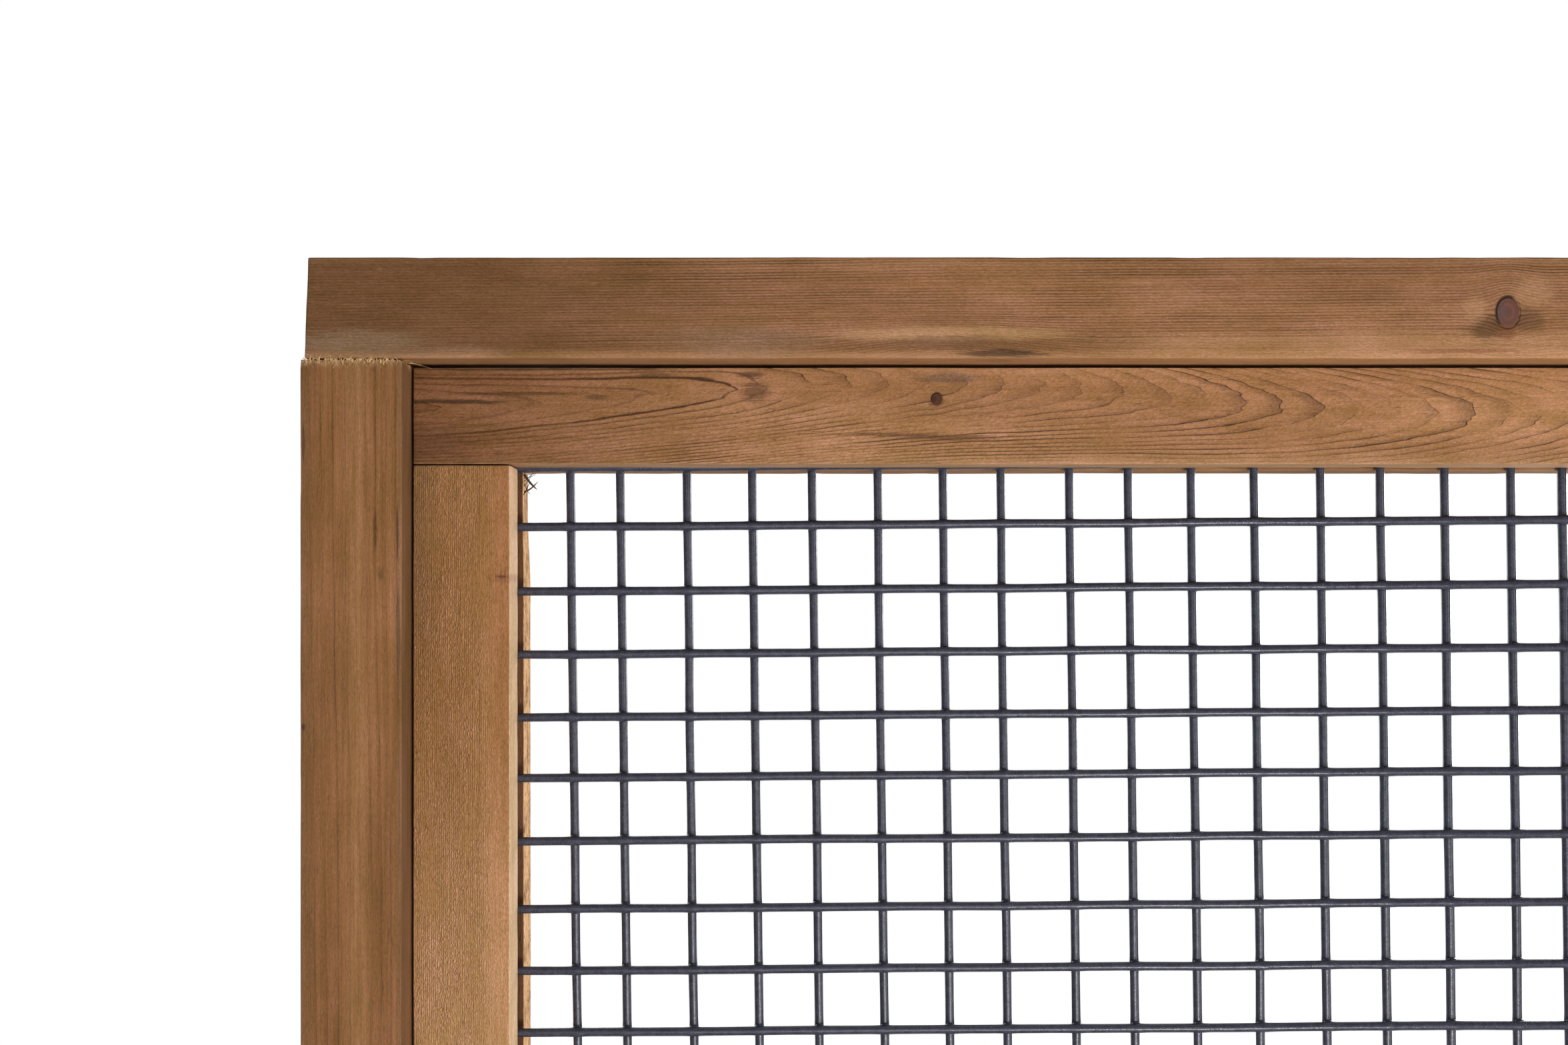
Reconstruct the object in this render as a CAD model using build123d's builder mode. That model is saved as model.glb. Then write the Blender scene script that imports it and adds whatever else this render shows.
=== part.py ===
"""Timber-framed panel of welded, plastic-coated wire mesh.

An outer frame of rails and posts holds two rings of battens, and the mesh is clamped between the rings.
Millimetres. X runs across the panel to the right, Y from the front face to the back, Z up. The origin is at
the middle of the underside of the bottom rail.
"""

import os
from math import radians, tan

from build123d import *

os.makedirs("parts", exist_ok=True)

# Outer frame: the rails run over the ends of the posts
PANEL_WIDTH = 610.0
PANEL_HEIGHT = 610.0
FRAME_DEPTH = 75.0
FRAME_FACE = 38.5
RAIL_INSET = 1.6  # each rail end stops this far short of the posts' outer faces
SAW_SKEW = 2.1  # degrees off square at the top rail's left end, so that its top arris is the shorter
FRAME_EASING = 1.0  # radius along the arrises

# Battens: top and bottom ones fill the frame's width, side ones stand between them
BATTEN_FACE = 37.5
BATTEN_THICKNESS = 19.0
BATTEN_EASING = 0.4
BACK_LEVEL_FACE = 38.0  # the back battens stand a little further into the opening
BACK_SIDE_FACE = 38.8
BACK_EASING = 0.5
FRONT_REVEAL = 15.0  # from the front of the frame to the front of the battens
SIDE_GAP = 0.6  # between a batten and the post beside it
LEVEL_GAP = 1.0  # between a batten and the rail beside it

# Mesh: a sheet of straight wires, welded where they cross, a little turned in the frame
WIRE_DIAMETER = 3.5  # over the coating
WIRE_COUNT = 20  # each way
MESH_PITCH = 25.0
MESH_OVERHANG = 8.0  # wire past the last crossing
CROSSING_CLEARANCE = 0.05
WIRE_END_CHAMFER = 0.4
MESH_RIGHT = 4.4  # middle of the mesh from the middle of the panel
MESH_DOWN = 6.6
COLUMN_SLOPE = tan(radians(0.745))  # the upright wires lean to the left at the top
ROW_SLOPE = tan(radians(0.42))  # the level wires rise to the right
# Wires that were welded off the even pitch, by their place in the sheet
COLUMN_DRIFT = {
    0: -0.5, 1: 2.5, 2: -2.5, 3: -1.0, 5: -1.0, 7: 1.0, 8: -1.0,
    9: 1.5, 13: 1.5, 14: 0.5, 15: 1.0, 16: 2.5, 17: -2.0,
}
ROW_DRIFT = {0: -1.0, 1: 0.5, 5: 1.0, 6: 1.0, 7: -1.0, 8: -0.5}

# Screws, all countersunk at 90 degrees: shank diameter, head diameter, length
CORNER_SCREW = (5.0, 9.5, 80.0)
FRAME_SCREW = (4.5, 8.6, 60.0)
BACK_SCREW = (4.0, 7.6, 40.0)
SCREW_SUNK = 0.3  # head below the face
SCREW_CLEARANCE = 0.05
SCREW_POINT = 6.0
CORNER_SCREW_SPREAD = 17.5  # each way from mid depth
FRAME_SCREW_STATIONS = (-180.0, 0.0, 180.0)  # along each member from its middle
BACK_SCREW_STATIONS = (-210.0, -70.0, 70.0, 210.0)
BACK_SCREW_EDGE = 7.0  # from the outer edge of the batten

# Levels and planes worked out from the above
RIGHT = PANEL_WIDTH / 2
MIDDLE = PANEL_HEIGHT / 2
FRONT = -FRAME_DEPTH / 2
BATTEN_FRONT = FRONT + FRONT_REVEAL
MESH_FRONT = BATTEN_FRONT + BATTEN_THICKNESS
BACK_FRONT = MESH_FRONT + 2 * WIRE_DIAMETER + 3 * CROSSING_CLEARANCE
ROW_Y = MESH_FRONT + CROSSING_CLEARANCE + WIRE_DIAMETER / 2
COLUMN_Y = ROW_Y + WIRE_DIAMETER + CROSSING_CLEARANCE
INNER_RIGHT = RIGHT - FRAME_FACE - SIDE_GAP
INNER_TOP = MIDDLE - FRAME_FACE - LEVEL_GAP  # from mid height


def write(piece, name):
    piece.part.label = name
    export_step(piece.part, f"parts/{name}.step")


def outward(face, station, across):
    """The plane on one outer face of the frame: station runs along the member, across is the Y level."""
    places = {
        "top": ((station, across, PANEL_HEIGHT), (0, 0, 1)),
        "bottom": ((station, across, 0), (0, 0, -1)),
        "left": ((-RIGHT, across, MIDDLE + station), (-1, 0, 0)),
        "right": ((RIGHT, across, MIDDLE + station), (1, 0, 0)),
    }
    origin, normal = places[face]
    return Plane(origin=origin, z_dir=normal)


def sunk(plane, depth):
    """The same plane, moved into the timber."""
    return plane.offset(-depth)


def screw_hole(size, planes):
    """A countersunk hole that clears the screw, to the screw's full length."""
    shank, head, length = size
    clear = SCREW_CLEARANCE
    mouth = head / 2 + SCREW_SUNK + clear
    with Locations(*planes):
        CounterSinkHole(shank / 2 + clear, mouth, depth=length + 2 * clear, counter_sink_angle=90)


def bore(size, planes, depth):
    """The plain end of a screw's hole, in the member that the screw bites into."""
    with Locations(*planes):
        Hole(size[0] / 2 + SCREW_CLEARANCE, depth=depth)


CORNER_SIDES = {
    side: [
        outward(side, across, spread)
        for across in (-(RIGHT - FRAME_FACE / 2), RIGHT - FRAME_FACE / 2)
        for spread in (-CORNER_SCREW_SPREAD, CORNER_SCREW_SPREAD)
    ]
    for side in ("top", "bottom")
}
FRAME_SCREW_Y = BATTEN_FRONT + BATTEN_THICKNESS / 2
FRAME_SIDES = {
    side: [outward(side, station, FRAME_SCREW_Y) for station in FRAME_SCREW_STATIONS]
    for side in ("top", "bottom", "left", "right")
}
BACK_FACE = BACK_FRONT + BATTEN_THICKNESS
BACK_SIDES = {
    side: [
        Plane(origin=(sign * (INNER_RIGHT - BACK_SCREW_EDGE), BACK_FACE, MIDDLE + station), z_dir=(0, 1, 0))
        for station in BACK_SCREW_STATIONS
    ]
    for side, sign in (("left", -1), ("right", 1))
} | {
    side: [
        Plane(origin=(station, BACK_FACE, MIDDLE + sign * (INNER_TOP - BACK_SCREW_EDGE)), z_dir=(0, 1, 0))
        for station in BACK_SCREW_STATIONS
    ]
    for side, sign in (("bottom", -1), ("top", 1))
}

# ---------------------------------------------------------------- outer frame
for side, level in (("top", PANEL_HEIGHT - FRAME_FACE / 2), ("bottom", FRAME_FACE / 2)):
    rail_half = RIGHT - RAIL_INSET
    with BuildPart() as rail:
        with BuildSketch(Plane.YZ.offset(-rail_half)):
            with Locations((0, level)):
                RectangleRounded(FRAME_DEPTH, FRAME_FACE, FRAME_EASING)
        extrude(amount=2 * rail_half)
        if side == "top":
            lower_corner = (-rail_half, 0, PANEL_HEIGHT - FRAME_FACE)
            split(bisect_by=Plane(lower_corner, z_dir=(-1, 0, tan(radians(SAW_SKEW)))), keep=Keep.BOTTOM)
        screw_hole(CORNER_SCREW, CORNER_SIDES[side])
        screw_hole(FRAME_SCREW, FRAME_SIDES[side])
    write(rail, f"{side}_rail")

for side, sign in (("left", -1), ("right", 1)):
    post_length = PANEL_HEIGHT - 2 * FRAME_FACE
    with BuildPart() as post:
        with BuildSketch(Plane.XY.offset(FRAME_FACE)):
            with Locations((sign * (RIGHT - FRAME_FACE / 2), 0)):
                RectangleRounded(FRAME_FACE, FRAME_DEPTH, FRAME_EASING)
        extrude(amount=post_length)
        screw_hole(FRAME_SCREW, FRAME_SIDES[side])
        for end in ("top", "bottom"):
            ends = [
                sunk(plane, FRAME_FACE)
                for plane in CORNER_SIDES[end]
                if plane.origin.X * sign > 0
            ]
            bore(CORNER_SCREW, ends, CORNER_SCREW[2] - FRAME_FACE + SCREW_CLEARANCE)
    write(post, f"{side}_post")

# ---------------------------------------------------------------- battens
for ring, front, level_face, easing in (
    ("front", BATTEN_FRONT, BATTEN_FACE, BATTEN_EASING),
    ("back", BACK_FRONT, BACK_LEVEL_FACE, BACK_EASING),
):
    side_face = BATTEN_FACE if ring == "front" else BACK_SIDE_FACE
    centre_y = front + BATTEN_THICKNESS / 2

    for side, sign in (("top", 1), ("bottom", -1)):
        with BuildPart() as batten:
            with BuildSketch(Plane.YZ.offset(-INNER_RIGHT)):
                with Locations((centre_y, MIDDLE + sign * (INNER_TOP - level_face / 2))):
                    RectangleRounded(BATTEN_THICKNESS, level_face, easing)
            extrude(amount=2 * INNER_RIGHT)
            if ring == "back":
                screw_hole(BACK_SCREW, BACK_SIDES[side])
            else:
                reach = FRAME_SCREW[2] - FRAME_FACE - LEVEL_GAP + SCREW_CLEARANCE
                bore(FRAME_SCREW, [sunk(p, FRAME_FACE + LEVEL_GAP) for p in FRAME_SIDES[side]], reach)
                reach = BACK_SCREW[2] - (BACK_FACE - MESH_FRONT) + SCREW_CLEARANCE
                bore(BACK_SCREW, [sunk(p, BACK_FACE - MESH_FRONT) for p in BACK_SIDES[side]], reach)
        write(batten, f"{ring}_{side}_batten")

    for side, sign in (("left", -1), ("right", 1)):
        half_length = INNER_TOP - level_face
        with BuildPart() as batten:
            with BuildSketch(Plane.XY.offset(MIDDLE - half_length)):
                with Locations((sign * (INNER_RIGHT - side_face / 2), centre_y)):
                    RectangleRounded(side_face, BATTEN_THICKNESS, easing)
            extrude(amount=2 * half_length)
            if ring == "back":
                screw_hole(BACK_SCREW, BACK_SIDES[side])
            else:
                reach = FRAME_SCREW[2] - FRAME_FACE - SIDE_GAP + SCREW_CLEARANCE
                bore(FRAME_SCREW, [sunk(p, FRAME_FACE + SIDE_GAP) for p in FRAME_SIDES[side]], reach)
                reach = BACK_SCREW[2] - (BACK_FACE - MESH_FRONT) + SCREW_CLEARANCE
                bore(BACK_SCREW, [sunk(p, BACK_FACE - MESH_FRONT) for p in BACK_SIDES[side]], reach)
        write(batten, f"{ring}_{side}_batten")

# ---------------------------------------------------------------- mesh
MESH_HALF = (WIRE_COUNT - 1) / 2 * MESH_PITCH
WIRE_HALF = MESH_HALF + MESH_OVERHANG


def write_wire(middle, direction, name):
    """One straight wire through middle, along direction, its ends nipped square."""
    axis = Vector(*direction).normalized()
    with BuildPart() as wire:
        with BuildSketch(Plane(origin=Vector(*middle) - axis * WIRE_HALF, z_dir=axis)):
            Circle(WIRE_DIAMETER / 2)
        extrude(amount=2 * WIRE_HALF)
        chamfer(wire.edges().filter_by(GeomType.CIRCLE), WIRE_END_CHAMFER)
    write(wire, name)


for i in range(WIRE_COUNT):
    column_x = MESH_RIGHT - MESH_HALF + i * MESH_PITCH + COLUMN_DRIFT.get(i, 0)
    column_z = MIDDLE - MESH_DOWN + ROW_SLOPE * (column_x - MESH_RIGHT)
    write_wire((column_x, COLUMN_Y, column_z), (-COLUMN_SLOPE, 0, 1), f"vertical_wire_{i + 1:02d}")

    row_z = MIDDLE - MESH_DOWN + MESH_HALF - i * MESH_PITCH + ROW_DRIFT.get(i, 0)
    row_x = MESH_RIGHT - COLUMN_SLOPE * (row_z - MIDDLE + MESH_DOWN)
    write_wire((row_x, ROW_Y, row_z), (1, 0, ROW_SLOPE), f"horizontal_wire_{i + 1:02d}")


# ---------------------------------------------------------------- screws
def master_screw(size):
    """A countersunk wood screw with a cross recess, head up, its head's top on the XY plane."""
    shank, head, length = size
    shank_r, head_r = shank / 2, head / 2
    tip = -(length - SCREW_SUNK)
    with BuildPart() as screw:
        with BuildSketch(Plane.XZ):
            with BuildLine():
                Polyline(
                    (0, 0),
                    (head_r, 0),
                    (shank_r, shank_r - head_r),
                    (shank_r, tip + SCREW_POINT),
                    (0, tip),
                    close=True,
                )
            make_face()
        revolve(axis=Axis.Z)
        with BuildSketch(Plane.XY):
            Rectangle(head * 0.52, head * 0.12)
            Rectangle(head * 0.12, head * 0.52)
        extrude(amount=-shank_r * 0.8, mode=Mode.SUBTRACT)
    return screw.part


def write_screws(size, planes, name):
    """All the screws of one kind, as separate solids in one group."""
    screw = master_screw(size)
    with BuildPart() as group:
        with Locations(*[sunk(plane, SCREW_SUNK) for plane in planes]):
            add(screw)
    write(group, name)


write_screws(CORNER_SCREW, sum(CORNER_SIDES.values(), []), "corner_screws")
write_screws(FRAME_SCREW, sum(FRAME_SIDES.values(), []), "frame_screws")
write_screws(BACK_SCREW, sum(BACK_SIDES.values(), []), "back_screws")
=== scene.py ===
"""Looks of the timber-framed mesh panel: grained boards, torn ends, coated wires, screw heads, light."""

import math

import bpy
import numpy as np
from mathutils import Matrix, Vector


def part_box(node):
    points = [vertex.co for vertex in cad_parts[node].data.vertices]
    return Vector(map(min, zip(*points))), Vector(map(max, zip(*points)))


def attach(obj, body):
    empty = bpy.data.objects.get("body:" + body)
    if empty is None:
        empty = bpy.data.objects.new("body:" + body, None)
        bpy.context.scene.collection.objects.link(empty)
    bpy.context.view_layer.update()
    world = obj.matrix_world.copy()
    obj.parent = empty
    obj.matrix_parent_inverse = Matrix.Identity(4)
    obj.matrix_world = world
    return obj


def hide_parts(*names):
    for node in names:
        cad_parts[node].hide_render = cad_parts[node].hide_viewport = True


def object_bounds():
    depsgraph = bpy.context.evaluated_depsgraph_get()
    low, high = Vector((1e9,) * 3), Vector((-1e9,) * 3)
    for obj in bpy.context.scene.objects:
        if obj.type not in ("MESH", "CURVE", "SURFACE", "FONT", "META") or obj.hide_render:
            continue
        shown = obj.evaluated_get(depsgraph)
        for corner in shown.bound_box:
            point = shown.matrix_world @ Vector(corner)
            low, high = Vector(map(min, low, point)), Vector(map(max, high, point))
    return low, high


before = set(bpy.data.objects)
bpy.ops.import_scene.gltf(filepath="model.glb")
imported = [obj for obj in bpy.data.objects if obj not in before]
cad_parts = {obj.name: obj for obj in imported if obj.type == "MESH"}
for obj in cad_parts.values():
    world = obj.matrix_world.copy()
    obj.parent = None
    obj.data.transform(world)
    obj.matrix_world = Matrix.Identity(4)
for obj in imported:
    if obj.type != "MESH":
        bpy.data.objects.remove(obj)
cad_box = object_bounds()

MM = 0.001
PANEL_LOW, PANEL_HIGH = [np.array(corner) / MM for corner in cad_box]
FRONT_Y = PANEL_LOW[1]
LEFT_X = PANEL_LOW[0]
TOP_Z = PANEL_HIGH[2]


def cad(node):
    """A CAD node's lowest and highest corners in millimetres."""
    return [np.array(corner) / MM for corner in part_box(node)]


# ---- camera and light
# The camera looks straight at the panel's upper left corner, level, from a little over half a metre.
CAMERA_FROM_LEFT = 182.75
CAMERA_BELOW_TOP = 126.4
CAMERA_DISTANCE = 620.0
SENSOR = 36.0
FRAME_WIDTH_AT_FACE = 588.0  # millimetres of the panel's face that the picture's width takes in
LENS_SHIFT_X, LENS_SHIFT_Y = -0.0017, 0.0451
LIGHTING_STRENGTH = 0.30


def add_camera():
    data = bpy.data.cameras.new("camera")
    data.sensor_width = SENSOR
    data.lens = SENSOR * CAMERA_DISTANCE / FRAME_WIDTH_AT_FACE
    data.shift_x = LENS_SHIFT_X
    data.shift_y = LENS_SHIFT_Y
    data.clip_start = 0.01
    camera = bpy.data.objects.new("camera", data)
    camera.location = (
        (LEFT_X + CAMERA_FROM_LEFT) * MM,
        (FRONT_Y - CAMERA_DISTANCE) * MM,
        (TOP_Z - CAMERA_BELOW_TOP) * MM,
    )
    camera.rotation_euler = (math.pi / 2, 0, 0)
    bpy.context.collection.objects.link(camera)
    bpy.context.scene.camera = camera


def add_light(name, place, target, size, watts, colour=(1, 1, 1)):
    """A square soft light at place, aimed at target, in metres."""
    data = bpy.data.lights.new(name, "AREA")
    data.size = size
    data.energy = watts
    data.color = colour
    light = bpy.data.objects.new(name, data)
    light.location = place
    away = bpy.data.objects.new(name + "_aim", None)
    away.location = target
    aim = light.constraints.new("TRACK_TO")
    aim.target = away
    aim.track_axis, aim.up_axis = "TRACK_NEGATIVE_Z", "UP_Y"
    light.visible_camera = False
    for ob in (light, away):
        bpy.context.collection.objects.link(ob)


def add_world():
    """White behind the object, and a dimmer even grey that lights it."""
    world = bpy.data.worlds.new("studio")
    bpy.context.scene.world = world
    world.use_nodes = True
    tree = world.node_tree
    tree.nodes.clear()
    seen, lighting = tree.nodes.new("ShaderNodeBackground"), tree.nodes.new("ShaderNodeBackground")
    seen.inputs["Color"].default_value = (1, 1, 1, 1)
    seen.inputs["Strength"].default_value = 1.0
    lighting.inputs["Color"].default_value = (0.95, 0.97, 1.0, 1)
    lighting.inputs["Strength"].default_value = LIGHTING_STRENGTH
    path, pick = tree.nodes.new("ShaderNodeLightPath"), tree.nodes.new("ShaderNodeMixShader")
    out = tree.nodes.new("ShaderNodeOutputWorld")
    tree.links.new(path.outputs["Is Camera Ray"], pick.inputs["Fac"])
    tree.links.new(lighting.outputs[0], pick.inputs[1])
    tree.links.new(seen.outputs[0], pick.inputs[2])
    tree.links.new(pick.outputs[0], out.inputs["Surface"])


# ---- node helper
class Shader:
    """One material, with short calls that add a node, wire it and return its output."""

    def __init__(self, name, roughness, specular=0.5):
        self.material = bpy.data.materials.new(name)
        self.material.use_nodes = True
        self.tree = self.material.node_tree
        self.surface = self.tree.nodes["Principled BSDF"]
        self.surface.inputs["Roughness"].default_value = roughness
        self.surface.inputs["Specular IOR Level"].default_value = specular
        self.place = self.scaled(self.add("TexCoord").outputs["Object"], 1 / MM)  # in millimetres

    def add(self, kind, inputs=(), **settings):
        node = self.tree.nodes.new("ShaderNode" + kind)
        for name, value in settings.items():
            setattr(node, name, value)
        for key, value in dict(inputs).items():
            self.put(node.inputs[key], value)
        return node

    def put(self, socket, value):
        if isinstance(value, bpy.types.NodeSocket):
            self.tree.links.new(value, socket)
        elif value is not None:
            socket.default_value = value

    def math(self, operation, a, b=None, c=None, clamp=False):
        node = self.add("Math", operation=operation, use_clamp=clamp)
        for socket, value in zip(node.inputs, (a, b, c)):
            self.put(socket, value)
        return node.outputs[0]

    def plus(self, a, b):
        return self.math("ADD", a, b)

    def minus(self, a, b):
        return self.math("SUBTRACT", a, b)

    def times(self, a, b):
        return self.math("MULTIPLY", a, b)

    def over(self, a, b):
        return self.math("DIVIDE", a, b)

    def fused(self, a, b, c):
        """a times b, plus c."""
        return self.math("MULTIPLY_ADD", a, b, c)

    def varied(self, chance, amount):
        """1, more or less by half of amount as a chance value from 0 to 1 says."""
        return self.fused(self.minus(chance, 0.5), amount, 1)

    def part(self, vector, axis):
        return self.add("SeparateXYZ", {"Vector": vector}).outputs[axis]

    def vector(self, operation, a, b=None):
        node = self.add("VectorMath", operation=operation)
        self.put(node.inputs[0], a)
        self.put(node.inputs[1], b)
        return node.outputs["Value" if operation in ("LENGTH", "DOT_PRODUCT", "DISTANCE") else "Vector"]

    def scaled(self, vector, factor):
        node = self.add("VectorMath", operation="SCALE")
        self.put(node.inputs[0], vector)
        self.put(node.inputs["Scale"], factor)
        return node.outputs[0]

    def noise(self, vector, detail=2.0, roughness=0.5, colour=False):
        inputs = {"Vector": vector, "Scale": 1.0, "Detail": detail, "Roughness": roughness}
        node = self.add("TexNoise", inputs)
        return node.outputs["Color" if colour else "Fac"]

    def steps(self, value, low, high):
        """A smooth rise from 0 at low to 1 at high; low may be the larger."""
        node = self.add("MapRange", interpolation_type="SMOOTHSTEP", clamp=True)
        for key, v in (("Value", value), ("From Min", low), ("From Max", high)):
            self.put(node.inputs[key], v)
        return node.outputs["Result"]

    def mix(self, factor, a, b, blend="MIX"):
        node = self.add("Mix", data_type="RGBA", blend_type=blend)
        colours = [s for s in node.inputs if s.type == "RGBA"]
        self.put(node.inputs[0], factor)
        for socket, value in zip(colours, (a, b)):
            self.put(socket, (*value, 1) if isinstance(value, tuple) else value)
        return [s for s in node.outputs if s.type == "RGBA"][0]

    def attribute(self, name):
        return self.add("Attribute", attribute_name=name).outputs["Fac"]

    def finish(self, colour, height=None, relief_mm=0.1, roughness=None):
        self.put(self.surface.inputs["Base Color"], colour)
        if roughness is not None:
            self.put(self.surface.inputs["Roughness"], roughness)
        if height is not None:
            bump = self.add("Bump", {"Strength": 1.0, "Distance": relief_mm * MM, "Height": height})
            self.put(self.surface.inputs["Normal"], bump.outputs[0])
        return self.material


# ---- timber
STRAW = (0.62, 0.40, 0.20)  # freshly torn wood
RAW = (0.98, 0.62, 0.32)  # the broken inner edges of the back battens
RAW_DARK = (0.40, 0.175, 0.068)
KNOT_RIM_SHADE = (0.035, 0.020, 0.012)


def wood(name, spec):
    """A board cut from a log: rings about a pith line, fibres, dashes, discolouring, knots and worn
    arrises, with some painted shade and painted light.

    spec holds along (axis index), pith (a point, mm), tilt (the pith line's lean per mm along), ring (mm),
    colours, and the strength of each feature. Optional: bends and wave (the pith line's own curve), bold
    (single dark rings), knots, stains (colour bands, some of them painted shade and painted
    light), marks (patches), comb (a saw's fine broken ridges, with painted shade in the grooves and
    painted highlights on the tips).
    """
    s = Shader(name, roughness=0.62, specular=spec["shine"])
    along = spec["along"]
    letter = "XYZ"[along]
    place = s.place
    seed = spec["seed"] * 37.0

    line = np.array(spec["tilt"], float)
    line[along] = 1.0
    line /= np.linalg.norm(line)

    def grain(across, down_grain, shift, detail=3, roughness=0.5, colour=False):
        """Noise that runs long down the grain; shift sets one use of it apart from the next."""
        size = [across] * 3
        size[along] = down_grain
        moved = s.vector("ADD", place, (seed + shift, seed * 0.7 - shift, seed * 0.3))
        return s.noise(s.vector("MULTIPLY", moved, tuple(size)), detail, roughness, colour)

    def drift(across, down_grain, amount, shift):
        wander = grain(across, down_grain, shift, detail=2, colour=True)
        return s.scaled(s.vector("SUBTRACT", wander, (0.5, 0.5, 0.5)), amount)

    sway = drift(0.03, 0.007, spec["sway"], 0)
    ripple = drift(0.3, 0.035, spec["ripple"], 9)
    bent = s.vector("ADD", s.vector("ADD", place, sway), ripple)

    # fine fibres, streaks, short dark dashes, torn pale flecks, broad shading
    fibre = grain(3, 0.1, 3, roughness=0.7)
    angle = math.radians(spec["slant"])
    slant = s.add("VectorRotate", {"Vector": place, "Angle": angle}, rotation_type="Y_AXIS")
    size = [3.4] * 3
    size[along] = 0.85
    grit = s.noise(s.vector("MULTIPLY", slant.outputs[0], tuple(size)), detail=3, roughness=0.65)
    streak = grain(0.85, 0.018, 13, roughness=0.6)
    hair = grain(6, 0.5, 5, detail=2)
    dash_from = spec["dash_from"]
    dash = s.steps(grain(2.1, 0.2, 17, detail=1.5), dash_from, dash_from + 0.1)
    fleck = s.steps(grain(1.7, 0.42, 19, detail=1.5), 0.62, 0.74)
    broad = grain(0.045, 0.006, 23)
    cloud = grain(0.1, 0.03, 41)

    # knots push the grain aside
    knots = []
    for knot in spec["knots"]:
        offset = s.vector("SUBTRACT", s.vector("ADD", place, s.scaled(ripple, 0.6)), tuple(knot["at"]))
        offset = s.vector("MULTIPLY", offset, tuple(knot["squash"]))
        distance = s.vector("LENGTH", offset)
        push = s.times(s.steps(distance, knot["reach"], knot["radius"] * 0.5), knot["push"])
        bent = s.vector("SUBTRACT", bent, s.scaled(s.vector("NORMALIZE", offset), push))
        knots.append((knot, distance, offset))

    q = s.vector("SUBTRACT", bent, tuple(spec["pith"]))
    run = s.part(place, letter)
    for begin, slope, softness in spec["bends"]:
        away = s.math("SMOOTH_MAX", s.minus(run, begin), 0, softness)
        q = s.vector("SUBTRACT", q, s.add("CombineXYZ", {"Y": s.times(away, slope)}).outputs[0])
    if "wave" in spec:
        height, crest, reach = spec["wave"]
        swing = s.math("COSINE", s.over(s.minus(run, crest), reach))
        sideways = "Z" if along == 0 else "X"
        lift = s.add("CombineXYZ", {sideways: s.times(swing, height)}).outputs[0]
        q = s.vector("SUBTRACT", q, lift)
    down = s.vector("DOT_PRODUCT", q, tuple(line))
    radius = s.vector("LENGTH", s.vector("SUBTRACT", q, s.scaled(tuple(line), down)))

    # rings: pale early wood, a dark late edge, each ring its own strength and width
    rings = s.over(radius, spec["ring"])
    outward = s.add("CombineXYZ", {"X": rings, "Y": seed}).outputs[0]
    slow = s.noise(s.vector("MULTIPLY", outward, (0.9, 1, 1)))
    rings = s.plus(rings, s.times(slow, 0.9))
    part = s.math("FRACT", rings)
    # how fast the radius grows across the face, so that a line keeps its width where it tops the crown
    aside = s.over(s.part(q, "Z" if along == 0 else "X"), radius)
    steep = s.math("SQRT", s.fused(aside, aside, spec["crown"] ** 2))
    edge = s.over(s.times(s.minus(1, part), spec["ring"]), steep)
    fade = s.times(s.steps(part, spec["late_from"], 1), spec["fade"])
    late = s.math("MAXIMUM", s.steps(edge, spec["line"] * 1.9, spec["line"] * 0.8), fade)
    whole = s.plus(s.math("FLOOR", rings), seed)
    lot = s.add("TexWhiteNoise", {"W": whole}, noise_dimensions="1D").outputs["Value"]
    strength = s.math("POWER", lot, 2)
    strength = s.fused(strength, spec["ring_spread"], spec["ring_base"])
    patchy = grain(0.1, 0.03, 31)
    presence = s.fused(s.steps(patchy, 0.28, 0.66), 1.5 * (1 - spec["even"]), spec["even"])
    strength = s.times(strength, presence)
    late = s.math("MULTIPLY", late, strength, clamp=True)
    for at, width, amount in spec["bold"]:
        gap = s.over(s.math("ABSOLUTE", s.minus(radius, at)), steep)
        stroke = s.times(s.steps(gap, width, width * 0.35), amount)
        stroke = s.times(stroke, s.steps(s.plus(patchy, fibre), 0.62, 0.95))
        late = s.math("MAXIMUM", late, stroke)

    colour = s.mix(s.steps(broad, 0.32, 0.68), spec["light"], spec["second"])
    colour = s.mix(late, colour, spec["dark"])
    for tone in spec["stains"]:
        swung = s.vector("ADD", place, s.scaled(sway, tone["loose"]))
        mask = s.steps(s.part(swung, tone["axis"]), tone["start"], tone["full"])
        if tone["within"]:
            axis, begin, full = tone["within"]
            mask = s.times(mask, s.steps(s.part(swung, axis), begin, full))
        colour = s.mix(s.times(mask, tone["amount"]), colour, tone["colour"])
    rippled = s.vector("ADD", place, s.scaled(ripple, 2))
    ragged = s.plus(s.times(s.minus(fibre, 0.5), 1.6), s.minus(streak, 0.5))
    for at, size, tint, amount in spec["marks"]:
        offset = s.vector("DIVIDE", s.vector("SUBTRACT", rippled, at), size)
        mask = s.steps(s.plus(s.vector("LENGTH", offset), ragged), 1.15, 0.45)
        colour = s.mix(s.times(mask, amount), colour, tint)

    shade = s.varied(fibre, spec["fibre"])
    for value, key in ((cloud, "cloud"), (hair, "hair"), (streak, "streak"), (grit, "grit")):
        shade = s.times(shade, s.varied(value, spec[key]))

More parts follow.
